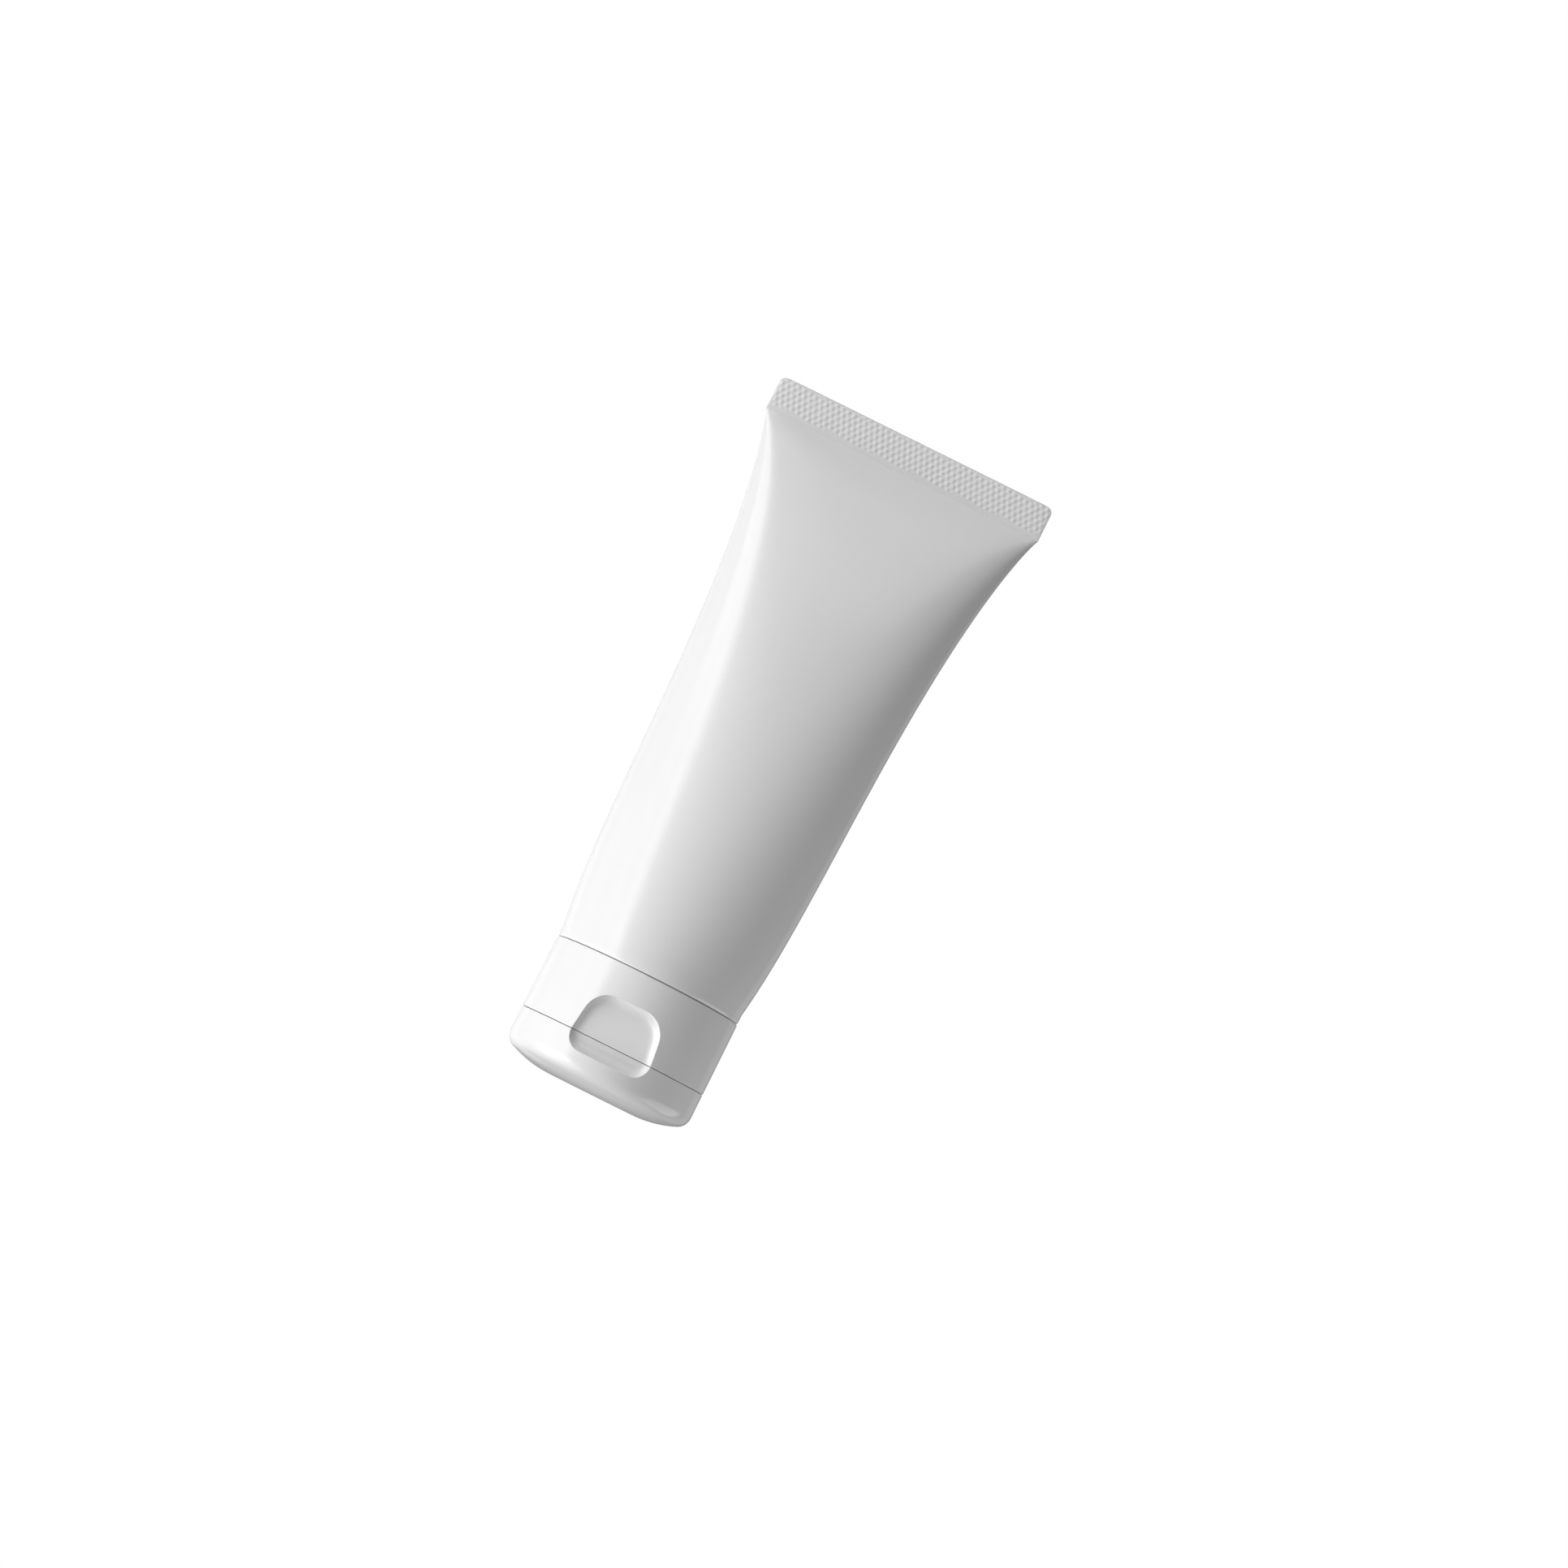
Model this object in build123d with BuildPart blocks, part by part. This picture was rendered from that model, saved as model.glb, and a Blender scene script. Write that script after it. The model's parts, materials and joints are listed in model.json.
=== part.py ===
from build123d import *
import math
import os

# Squeeze tube of soft white plastic with a flip-top cap, in millimetres.
# It stands on its closed lid, with Z up the tube's axis and the crimped seal on top.
# The thumb recess faces -Y, the hinge faces +Y and the crimped seal runs along X.

# Sleeve: an extruded tube, round at the head and sealed flat at the other end
sleeve_diameter = 34.9
sleeve_wall = 0.5
sleeve_length = 108.1
sleeve_edge = 0.2
round_length = 1.8
settle_share = 0.182
settle_run = 19.6
bulge_power = 3.12
closing_power = 0.77
squareness = 0.36
crimp_height = 6.6
crimp_thickness = 1.0
crimp_corner = 1.2
cavity_tip_inset = 1.5
cavity_tip_thickness = 0.5

# Head: shoulder and neck, moulded and welded into the round end of the sleeve
neck_diameter = 15.2
neck_bore = 8.0
bead_height = 0.45
bead_rise = 3.0
shoulder_rise = 3.5
shoulder_thickness = 1.3
rim_height = 1.6
rim_wall = 1.0
weld_gap = 0.03

# Cap base: skirt, deck and the collar that snaps over the neck
cap_proud = 0.05
cap_height = 22.0
cap_wall = 1.4
cap_edge = 0.2
parting_edge = 0.12
seat_gap = 0.1
deck_thickness = 1.4
collar_wall = 1.4
collar_height = 7.0
neck_clearance = 0.1
rib_count = 6
rib_thickness = 1.0
rib_height = 3.0
lip_height = 1.5
lip_wall = 1.2
lip_clearance = 0.5
lip_bead = 0.2

# Orifice insert: a nozzle on a stepped flange, held in the deck by the end of the neck
nozzle_diameter = 9.0
nozzle_height = 3.0
nozzle_edge = 0.4
orifice_diameter = 6.2
flange_diameter = 14.0
flange_thickness = 0.7
flange_ledge = 0.6
insert_clearance = 0.03

# Lid: a shallow cup with a flat land to stand on and a plug for the orifice
lid_height = 8.5
parting_gap = 0.1
lid_wall = 1.5
lid_floor = 1.4
land_diameter = 16.0
crown_radius = 20.0
lid_corner = 2.6
plug_clearance = 0.25
plug_engagement = 1.0
plug_wall = 0.9
plug_edge = 0.3

# Thumb recess across the parting line, at the front
recess_width = 16.8
recess_top_width = 13.0
recess_above = 8.0
recess_below = 3.0
recess_depth = 2.4
recess_wall = 1.2
recess_top_corner = 4.8
recess_low_corner = 3.0
recess_blend = 2.0

# Hinge: a flat at the back, bridged by two thin films and a bowed strap between them
hinge_width = 13.0
hinge_flat_rise = 4.0
film_thickness = 0.35
film_length = 2.8
film_inset = 0.4
strap_width = 4.0
strap_thickness = 0.5
strap_length = 6.0
strap_bow = 0.45
strap_foot = 0.75
strap_gap = 0.6

# Radii and levels that follow from the sizes above
sleeve_radius = sleeve_diameter / 2
cap_radius = sleeve_radius + cap_proud
neck_radius = neck_diameter / 2
bore_radius = neck_bore / 2
orifice_radius = orifice_diameter / 2
nozzle_radius = nozzle_diameter / 2
flange_radius = flange_diameter / 2
collar_radius = neck_radius + neck_clearance
lid_inner_radius = cap_radius - lid_wall
lip_radius = lid_inner_radius - lip_clearance
rim_radius = sleeve_radius - sleeve_wall - weld_gap
land_radius = land_diameter / 2

lid_top = lid_height - parting_gap / 2
base_bottom = lid_height + parting_gap / 2
deck_top = base_bottom + deck_thickness
flange_seat = deck_top - flange_thickness
sleeve_bottom = cap_height + seat_gap
sleeve_top = sleeve_bottom + sleeve_length
crimp_bottom = sleeve_top - crimp_height
taper_bottom = sleeve_bottom + round_length
taper_length = crimp_bottom - taper_bottom
neck_root = sleeve_bottom - shoulder_rise
bead_level = deck_top + bead_rise
nozzle_tip = base_bottom - nozzle_height
recess_top = lid_height + recess_above
recess_bottom = lid_height - recess_below
recess_back = cap_radius - recess_depth - recess_wall
hinge_flat = math.sqrt(cap_radius**2 - (hinge_width / 2) ** 2)
hinge_flat_top = lid_height + hinge_flat_rise

# Stations of the sleeve's sections, as shares of the way from the round stretch to the crimp
stations = (0, 0.06, 0.18, 0.38, 0.6, 0.78, 0.9, 0.97, 1)

# A quarter of a circle as a curve with two handles, and its perimeter as a power mean of its half sides
circle_handle = 4 / 3 * (math.sqrt(2) - 1)
circle_power = math.log(2) / math.log(math.pi / 2)
power_fall = 0.85


def half_thickness(share):
    """Half the sleeve's depth, front to back, at a station: it settles, bulges and then closes."""
    settled = 1 - settle_share * (1 - math.exp(-share * taper_length / settle_run))
    closed = (1 - share**bulge_power) ** closing_power
    sealed = crimp_thickness / 2
    return sealed + (sleeve_radius - sealed) * settled * closed


def section_handle(share):
    """Handle length of a section's quarters, as a share of its half sides: squarer towards the crimp."""
    return circle_handle + squareness * share**2


def half_width(share):
    """Half the sleeve's width at a station, where the section keeps the round tube's own perimeter."""
    power = circle_power - power_fall * (section_handle(share) - circle_handle)
    quarter = math.pi * sleeve_radius / 2
    return (quarter**power - half_thickness(share) ** power) ** (1 / power)


def draw_section(width, depth, handle):
    """Draws one section of the sleeve from its half sides and its handle length."""
    with BuildLine() as outline:
        Bezier((width, 0), (width, handle * depth), (handle * width, depth), (0, depth))
        mirror(about=Plane.YZ)
        mirror(about=Plane.XZ)
    make_face(outline.edges())


crimp_half_width = half_width(1)

# Sleeve cavity, inside the wall up to where the two walls meet under the crimp
with BuildPart() as sleeve_cavity:
    for share in stations[:-1]:
        with BuildSketch(Plane.XY.offset(taper_bottom + share * taper_length)):
            inside = half_width(share) - sleeve_wall
            draw_section(inside, half_thickness(share) - sleeve_wall, section_handle(share))
    with BuildSketch(Plane.XY.offset(crimp_bottom - sleeve_wall)):
        draw_section(crimp_half_width - cavity_tip_inset, cavity_tip_thickness / 2, section_handle(1))
    loft()
    with BuildSketch(Plane.XY.offset(sleeve_bottom)):
        draw_section(sleeve_radius - sleeve_wall, sleeve_radius - sleeve_wall, circle_handle)
    extrude(amount=round_length)

# Sleeve, with its crimped band
with BuildPart() as tube_sleeve:
    for share in stations:
        with BuildSketch(Plane.XY.offset(taper_bottom + share * taper_length)):
            draw_section(half_width(share), half_thickness(share), section_handle(share))
    loft()
    with BuildSketch(Plane.XY.offset(sleeve_bottom)):
        draw_section(sleeve_radius, sleeve_radius, circle_handle)
    extrude(amount=round_length)
    fillet(tube_sleeve.edges().group_by(Axis.Z)[0], sleeve_edge)
    with BuildSketch(Plane.XZ) as crimp_face:
        with Locations((0, crimp_bottom)):
            Rectangle(2 * crimp_half_width, crimp_height, align=(Align.CENTER, Align.MIN))
        fillet(crimp_face.vertices().group_by(Axis.Y)[-1], crimp_corner)
    extrude(amount=crimp_thickness / 2, both=True)
    add(sleeve_cavity.part, mode=Mode.SUBTRACT)
tube_sleeve.part.label = "tube_sleeve"

# Head: welding rim, conical shoulder inside the cap's skirt and beaded neck, turned in one profile
shoulder_radius = cap_radius - cap_wall - neck_clearance
shoulder_slope = shoulder_rise / (shoulder_radius - neck_radius)
shoulder_inside = sleeve_bottom + shoulder_thickness
rim_inner = rim_radius - rim_wall
with BuildPart() as tube_head:
    with BuildSketch(Plane.XZ):
        with BuildLine():
            Polyline(
                (bore_radius, deck_top),
                (neck_radius, deck_top),
                (neck_radius, bead_level - bead_height),
                (neck_radius + bead_height, bead_level),
                (neck_radius, bead_level + bead_height),
                (neck_radius, neck_root),
                (shoulder_radius, sleeve_bottom),
                (rim_radius, sleeve_bottom),
                (rim_radius, sleeve_bottom + rim_height),
                (rim_inner, sleeve_bottom + rim_height),
                (rim_inner, shoulder_inside - (shoulder_radius - rim_inner) * shoulder_slope),
                (bore_radius, shoulder_inside - (shoulder_radius - bore_radius) * shoulder_slope),
                close=True,
            )
        make_face()
    revolve(axis=Axis.Z)
tube_head.part.label = "tube_head"

# Thumb recess: a rounded pocket, cut alike into the cap base and the lid
with BuildSketch(Plane.XZ.offset(cap_radius)) as recess_outline:
    with BuildLine():
        Polyline(
            (-recess_width / 2, recess_bottom),
            (-recess_top_width / 2, recess_top),
            (recess_top_width / 2, recess_top),
            (recess_width / 2, recess_bottom),
            close=True,
        )
    make_face()
    fillet(recess_outline.vertices().group_by(Axis.Y)[-1], recess_top_corner)
    fillet(recess_outline.vertices().group_by(Axis.Y)[0], recess_low_corner)

with BuildPart() as thumb_recess:
    with BuildSketch(Plane.XZ.offset(cap_radius)):
        add(recess_outline.sketch_local)
    extrude(amount=-recess_depth)
    fillet(thumb_recess.faces().sort_by(Axis.Y)[-1].edges(), recess_blend)
    extrude(thumb_recess.faces().sort_by(Axis.Y)[0], amount=recess_depth)


def at_recess_rim(edge):
    """Whether an edge is one where the thumb recess breaks through the outside of the cap."""
    middle = edge @ 0.5
    outside = math.isclose(math.hypot(middle.X, middle.Y), cap_radius, abs_tol=parting_gap / 2)
    beside = middle.Y < 0 and abs(middle.X) < recess_width / 2
    return outside and beside and recess_bottom - parting_gap < middle.Z < recess_top + parting_gap


# Walls behind the recess and the hinge flat, kept when the cap base and the lid are hollowed
with BuildPart() as recess_backing:
    with BuildSketch(Plane.XZ.offset(cap_radius)):
        add(recess_outline.sketch_local)
        offset(amount=recess_wall)
    extrude(amount=-(recess_depth + recess_wall))

with BuildPart() as hinge_backing:
    with BuildSketch(Plane.XY):
        with Locations((0, hinge_flat - cap_wall)):
            Rectangle(hinge_width, 2 * cap_radius, align=(Align.CENTER, Align.MIN))
    extrude(amount=hinge_flat_top + cap_wall)

# Cap base cavity, between the skirt and the collar
with BuildPart() as base_cavity:
    with BuildSketch(Plane.XY.offset(deck_top)):
        Circle(cap_radius - cap_wall)
    extrude(amount=cap_height - deck_top)
    add(recess_backing.part, mode=Mode.SUBTRACT)
    add(hinge_backing.part, mode=Mode.SUBTRACT)

# Lip under the deck, which the closed lid fits around, with its snap bead
with BuildPart() as deck_lip:
    with BuildSketch(Plane.XZ):
        with BuildLine():
            Polyline(
                (lip_radius - lip_wall, base_bottom),
                (lip_radius - lip_wall, base_bottom - lip_height),
                (lip_radius, base_bottom - lip_height),
                (lip_radius, base_bottom - lip_height / 2 - lip_bead),
                (lip_radius + lip_bead, base_bottom - lip_height / 2),
                (lip_radius, base_bottom - lip_height / 2 + lip_bead),
                (lip_radius, base_bottom),
                close=True,
            )
        make_face()
    revolve(axis=Axis.Z)
    with BuildSketch(Plane.XY.offset(base_bottom)):
        with Locations((0, -(recess_back - lip_clearance))):
            Rectangle(2 * cap_radius, 2 * cap_radius, align=(Align.CENTER, Align.MAX))
        with Locations((0, hinge_flat - lid_wall - lip_clearance)):
            Rectangle(2 * cap_radius, 2 * cap_radius, align=(Align.CENTER, Align.MIN))
    extrude(amount=-lip_height, mode=Mode.SUBTRACT)

# Cap base
with BuildPart() as cap_base:
    with BuildSketch(Plane.XY.offset(base_bottom)):
        Circle(cap_radius)
    extrude(amount=cap_height - base_bottom)
    fillet(cap_base.edges().group_by(Axis.Z)[-1], cap_edge)
    fillet(cap_base.edges().group_by(Axis.Z)[0], parting_edge)
    add(base_cavity.part, mode=Mode.SUBTRACT)
    with BuildSketch(Plane.XZ):
        with BuildLine():
            Polyline(
                (collar_radius, deck_top),
                (collar_radius + collar_wall, deck_top),
                (collar_radius + collar_wall, deck_top + collar_height),
                (collar_radius, deck_top + collar_height),
                (collar_radius, bead_level + bead_height),
                (collar_radius + bead_height, bead_level),
                (collar_radius, bead_level - bead_height),
                close=True,
            )
        make_face()
    revolve(axis=Axis.Z)
    rib_start = collar_radius + collar_wall / 2
    rib_end = cap_radius - cap_wall / 2
    with BuildSketch(Plane.XY.offset(deck_top)):
        with PolarLocations(rib_start, rib_count):
            Rectangle(rib_end - rib_start, rib_thickness, align=(Align.MIN, Align.CENTER))
    extrude(amount=rib_height)
    add(thumb_recess.part, mode=Mode.SUBTRACT)
    fillet(cap_base.edges().filter_by(at_recess_rim), parting_edge)
    with BuildSketch(Plane.XY.offset(base_bottom)):
        with Locations((0, hinge_flat)):
            Rectangle(2 * cap_radius, 2 * cap_radius, align=(Align.CENTER, Align.MIN))
    extrude(amount=hinge_flat_top - base_bottom, mode=Mode.SUBTRACT)
    add(deck_lip.part)
    with Locations((0, 0, deck_top)):
        CounterBoreHole(
            radius=flange_radius - flange_ledge,
            counter_bore_radius=flange_radius,
            counter_bore_depth=flange_thickness,
            depth=deck_thickness,
        )
cap_base.part.label = "cap_base"

# Orifice insert, turned in one profile that seats in the stepped hole of the deck
seated_radius = flange_radius - insert_clearance
with BuildPart() as spout_insert:
    with BuildSketch(Plane.XZ):
        with BuildLine():
            Polyline(
                (orifice_radius, nozzle_tip),
                (nozzle_radius, nozzle_tip),
                (nozzle_radius, base_bottom),
                (seated_radius - flange_ledge, base_bottom),
                (seated_radius - flange_ledge, flange_seat),
                (seated_radius, flange_seat),
                (seated_radius, deck_top),
                (orifice_radius, deck_top),
                close=True,
            )
        make_face()
    revolve(axis=Axis.Z)
    fillet(spout_insert.edges().group_by(Axis.Z)[0].sort_by(SortBy.RADIUS)[-1], nozzle_edge)
spout_insert.part.label = "spout_insert"


def crown_sweep(radius, floor):
    """Angle, in degrees, that the lid's low crown turns through between its flat land and a radius."""
    return math.degrees(math.asin((radius - land_radius) / (crown_radius - floor)))


# Lid cavity, with the walls behind the recess and the hinge flat left standing
with BuildPart() as lid_cavity:
    with BuildSketch(Plane.XZ) as cavity_profile:
        with BuildLine():
            Line((0, lid_floor), (land_radius, lid_floor))
            crown = CenterArc(
                (land_radius, crown_radius),
                crown_radius - lid_floor,
                start_angle=270,
                arc_size=crown_sweep(lid_inner_radius, lid_floor),
            )
            Polyline(crown @ 1, (lid_inner_radius, lid_top), (0, lid_top), (0, lid_floor))
        make_face()
        cavity_corner = cavity_profile.vertices().group_by(Axis.X)[-1].sort_by(Axis.Y)[0]
        fillet(cavity_corner, lid_corner - lid_floor)
    revolve(axis=Axis.Z)
    add(recess_backing.part, mode=Mode.SUBTRACT)
    add(hinge_backing.part, mode=Mode.SUBTRACT)

# Lid
plug_radius = orifice_radius - plug_clearance
plug_tip = nozzle_tip + plug_engagement
with BuildPart() as flip_lid:
    with BuildSketch(Plane.XZ) as lid_outline:
        with BuildLine():
            Line((0, 0), (land_radius, 0))
            crown = CenterArc(
                (land_radius, crown_radius),
                crown_radius,
                start_angle=270,
                arc_size=crown_sweep(cap_radius, 0),
            )
            Polyline(crown @ 1, (cap_radius, lid_top), (0, lid_top), (0, 0))
        make_face()
        outer_corner = lid_outline.vertices().group_by(Axis.X)[-1].sort_by(Axis.Y)[0]
        fillet(outer_corner, lid_corner)
    revolve(axis=Axis.Z)
    fillet(flip_lid.edges().group_by(Axis.Z)[-1], parting_edge)
    add(lid_cavity.part, mode=Mode.SUBTRACT)
    add(thumb_recess.part, mode=Mode.SUBTRACT)
    fillet(flip_lid.edges().filter_by(at_recess_rim), parting_edge)
    with BuildSketch(Plane.XY):
        with Locations((0, hinge_flat)):
            Rectangle(2 * cap_radius, 2 * cap_radius, align=(Align.CENTER, Align.MIN))
    extrude(amount=lid_height, mode=Mode.SUBTRACT)
    with BuildSketch(Plane.XY.offset(lid_floor)):
        Circle(plug_radius)
    extrude(amount=plug_tip - lid_floor)
    plug_rim = flip_lid.edges().filter_by(GeomType.CIRCLE).filter_by_position(Axis.Z, plug_tip, plug_tip)
    fillet(plug_rim, plug_edge)
    with BuildSketch(Plane.XY.offset(lid_floor)):
        Circle(plug_radius - plug_wall)
    extrude(amount=plug_tip - lid_floor, mode=Mode.SUBTRACT)
flip_lid.part.label = "flip_lid"

# Hinge films, one at each end of the flat, that bend at the parting line
film_width = (hinge_width - strap_width) / 2 - strap_gap - film_inset
with BuildPart() as hinge_films:
    with BuildSketch(Plane.XZ.offset(-hinge_flat)):
        film_reach = strap_width / 2 + strap_gap + film_width / 2
        with Locations((-film_reach, lid_height), (film_reach, lid_height)):
            Rectangle(film_width, film_length)
    extrude(amount=-film_thickness)
hinge_films.part.label = "hinge_films"

# Hinge strap, bowed off the flat so that it can snap past the middle
with BuildPart() as hinge_strap:
    with BuildSketch(Plane.YZ):
        with BuildLine():
            strap_reach = strap_length / 2
            inner_reach = strap_reach - strap_foot
            outer_bow = hinge_flat + strap_bow + strap_thickness
            ThreePointArc(
                (hinge_flat, lid_height - strap_reach),
                (outer_bow, lid_height),
                (hinge_flat, lid_height + strap_reach),
            )
            Line((hinge_flat, lid_height + strap_reach), (hinge_flat, lid_height + inner_reach))
            ThreePointArc(
                (hinge_flat, lid_height + inner_reach),
                (outer_bow - strap_thickness, lid_height),
                (hinge_flat, lid_height - inner_reach),
            )
            Line((hinge_flat, lid_height - inner_reach), (hinge_flat, lid_height - strap_reach))
        make_face()
    extrude(amount=strap_width / 2, both=True)
hinge_strap.part.label = "hinge_strap"

os.makedirs("parts", exist_ok=True)
for piece in (tube_sleeve, tube_head, cap_base, spout_insert, flip_lid, hinge_films, hinge_strap):
    export_step(piece.part, f"parts/{piece.part.label}.step")
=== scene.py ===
import json
import math

import bmesh
import bpy
from mathutils import Matrix, Vector


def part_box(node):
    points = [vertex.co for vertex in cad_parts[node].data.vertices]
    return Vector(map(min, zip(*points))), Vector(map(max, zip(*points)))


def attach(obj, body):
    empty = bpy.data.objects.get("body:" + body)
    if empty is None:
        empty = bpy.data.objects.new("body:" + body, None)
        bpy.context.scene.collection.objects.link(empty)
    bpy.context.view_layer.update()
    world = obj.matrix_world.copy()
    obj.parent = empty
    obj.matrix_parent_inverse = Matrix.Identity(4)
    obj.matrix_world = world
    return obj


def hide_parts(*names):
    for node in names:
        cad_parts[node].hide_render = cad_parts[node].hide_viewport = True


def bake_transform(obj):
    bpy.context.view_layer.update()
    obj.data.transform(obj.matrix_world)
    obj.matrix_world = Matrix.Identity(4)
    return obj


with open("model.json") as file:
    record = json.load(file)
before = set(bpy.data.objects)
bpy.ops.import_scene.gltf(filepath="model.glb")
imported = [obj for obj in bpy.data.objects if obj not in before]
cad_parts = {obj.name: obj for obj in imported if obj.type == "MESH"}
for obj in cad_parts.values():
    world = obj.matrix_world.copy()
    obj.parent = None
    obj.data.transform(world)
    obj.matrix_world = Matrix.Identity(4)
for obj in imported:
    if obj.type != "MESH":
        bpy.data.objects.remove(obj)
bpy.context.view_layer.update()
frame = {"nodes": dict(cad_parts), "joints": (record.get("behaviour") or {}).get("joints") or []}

bl_info = {
    "name": "Squeeze tube",
    "version": (1, 0, 0),
    "blender": (4, 5, 0),
    "location": "3D View > Sidebar > Tube",
    "description": "Dresses a squeeze tube with a flip-top cap on its packed solids",
    "category": "Object",
}

sleeve_low, sleeve_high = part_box("tube_sleeve")
film_low, film_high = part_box("hinge_films")
strap_low, strap_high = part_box("hinge_strap")
hinge_line = Vector(frame["joints"][0]["pos_m"])

# The handle that makes a Bezier quarter a circle, and the power at which a circle's half width and half depth
# keep its girth.
circle_handle = 4 / 3 * (math.sqrt(2) - 1)
circle_power = math.log(2) / math.log(math.pi / 2)

# Points round the sleeve and along its outside and inside, the share of the taper where the inside ends, the
# cuts across its lip, and how close points are to be merged.
sleeve_around, outside_along, inside_along = 257, 221, 61
inside_end = 0.985
lip_cuts = 5
seam_distance = 1e-6

# Mesh steps from dot to dot, along a film and along the strap, and the rounding of the band's rims.
dot_steps, film_steps, strap_steps = 8, 28, 40
rim_angle = math.radians(50)
rim_steps = 2

# Three cosines, 60 degrees apart, add up to between these two values.
wave_low, wave_high = -1.5, 3.0

# Scale and detail of the plastic's noises, and what each one changes.
cloud_scale, cloud_detail, cloud_low, cloud_high = 90.0, 3.0, 0.985, 1.01
gloss_scale, gloss_detail, gloss_spread = 260.0, 4.0, 0.08
grain_detail, grain_strength = 2.0, 0.35
sleeve_grain_scale, sleeve_grain_depth = 2600.0, 0.00002
cap_grain_scale, cap_grain_depth = 4200.0, 0.000012

# The floor is plain out to the first distance from the tube and has faded to white at the second.
floor_plain, floor_reach = 0.35, 2.0
floor_roughness = 0.8

clip_near, clip_far = 0.01, 20.0

# For each lamp: its turn round the tube from the front and its climb, in degrees, the height that it aims at,
# and its distance, width and length, in metres.
lamps = {
    "key": (63.0, 0.0, 0.07, 2.4, 1.1, 3.1),
    "strip": (48.0, 0.0, 0.07, 2.4, 0.45, 3.1),
    "high_left": (63.0, 30.0, 0.07, 1.6, 0.73, 1.14),
    "low_left": (60.0, -25.0, 0.07, 0.8, 0.6, 0.5),
    "under_left": (60.0, -45.0, 0.07, 0.6, 0.5, 0.5),
    "left_back": (150.0, 0.0, 0.07, 2.4, 1.8, 3.1),
    "right_back": (-150.0, 0.0, 0.07, 2.4, 1.2, 3.1),
    "back": (180.0, 35.0, 0.07, 1.6, 1.4, 1.2),
    "top": (0.0, 80.0, 0.07, 1.6, 1.4, 1.4),
    "front": (0.0, 45.0, 0.07, 1.6, 1.0, 0.8),
    "fill": (-92.0, -21.0, 0.0, 0.24, 0.25, 0.17),
}


def length(name, description, default):
    """A size in metres that a user may change."""
    return bpy.props.FloatProperty(
        name=name,
        description=description,
        default=default,
        min=0.0,
        precision=5,
        unit="LENGTH",
        subtype="DISTANCE",
    )


def number(name, description, default):
    """A plain number that a user may change."""
    return bpy.props.FloatProperty(name=name, description=description, default=default, precision=4)


def colour(name, description, default):
    """A colour that a user may change."""
    return bpy.props.FloatVectorProperty(
        name=name, description=description, default=default, size=3, min=0.0, max=1.0, subtype="COLOR"
    )


def angle(name, description, default):
    """An angle, given in degrees, that a user may change."""
    return bpy.props.FloatProperty(
        name=name, description=description, default=math.radians(default), unit="ROTATION", subtype="ANGLE"
    )


class TubeSleeveSizes(bpy.types.PropertyGroup):
    """Sizes of the sleeve and its crimped seal"""

    radius: length("Radius", "Radius of the round end of the sleeve", sleeve_high.y)
    wall: length("Wall", "Thickness of the sleeve's wall", 0.0005)
    edge: length("Edge", "Rounding of the sleeve's lower edge", 0.0004)
    round_length: length("Round length", "Straight round stretch over the head's rim", 0.0018)
    settle_share: number("Settle share", "Share of the depth lost just above the round stretch", 0.182)
    settle_run: length("Settle run", "Length over which the sleeve settles", 0.0196)
    bulge_power: number("Bulge power", "How late the sleeve starts to flatten", 3.12)
    closing_power: number("Closing power", "How bluntly the sleeve closes at the crimp", 0.77)
    squareness: number("Squareness", "How much the sections square up towards the crimp", 0.36)
    girth_fall: number("Girth fall", "Fall of the girth rule's power as the sections square up", 0.85)
    fairing: number("Fairing", "Softness of the bend where the sleeve runs into the crimp", 0.03)
    crimp_height: length("Crimp height", "Height of the crimped band", 0.0066)
    crimp_thickness: length("Crimp thickness", "Thickness of the crimped band", 0.001)
    crimp_corner: length("Crimp corner", "Corner radius of the crimped band", 0.0012)
    crimp_edge: length("Crimp edge", "Rounding along the edges of the band", 0.00008)
    fold: number("Fold", "Share of a full round-off that the band's folded sides reach", 0.98)
    fold_power: number("Fold power", "How squarely the band ends at its folded sides", 4.0)
    dot_pitch: length("Dot pitch", "Distance between neighbouring embossed dots", 0.00118)
    dot_slant: angle("Dot slant", "Lean of the rows of dots across the band", 7.0)
    dot_relief: length("Dot relief", "Height of one embossed dot", 0.00013)
    dot_margin: length("Dot margin", "Plain margin at the top and the sides of the band", 0.0003)
    dot_foot: length("Dot foot", "Plain strip under the embossing", 0.001)


class TubeHingeSizes(bpy.types.PropertyGroup):
    """Sizes of the films and the strap that the lid turns on"""

    film_gap: length("Film gap", "Gap between the strap and each film", 0.0006)
    film_reach: length("Film reach", "How far from the hinge line the films bend", 0.0006)
    strap_thickness: length("Strap thickness", "Thickness of the bowed strap at its middle", 0.0005)
    strap_foot: length("Strap foot", "Length of the strap's foot at each end", 0.00075)
    strap_reach: length("Strap reach", "How far from the hinge line the strap bends", 0.0022)


class TubeLooks(bpy.types.PropertyGroup):
    """Colours and finish of the plastics and the floor"""

    sleeve: colour("Sleeve", "Colour of the soft sleeve", (0.84, 0.84, 0.84))
    cap: colour("Cap", "Colour of the moulded cap", (0.84, 0.84, 0.84))
    floor: colour("Floor", "Colour of the floor", (0.6, 0.6, 0.6))
    floor_glow: number("Floor glow", "Paleness that the camera sees in the floor's shadows", 0.42)
    sleeve_roughness: number("Sleeve roughness", "Roughness of the sleeve's satin surface", 0.2)
    cap_roughness: number("Cap roughness", "Roughness of the cap's moulded surface", 0.2)


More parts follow.
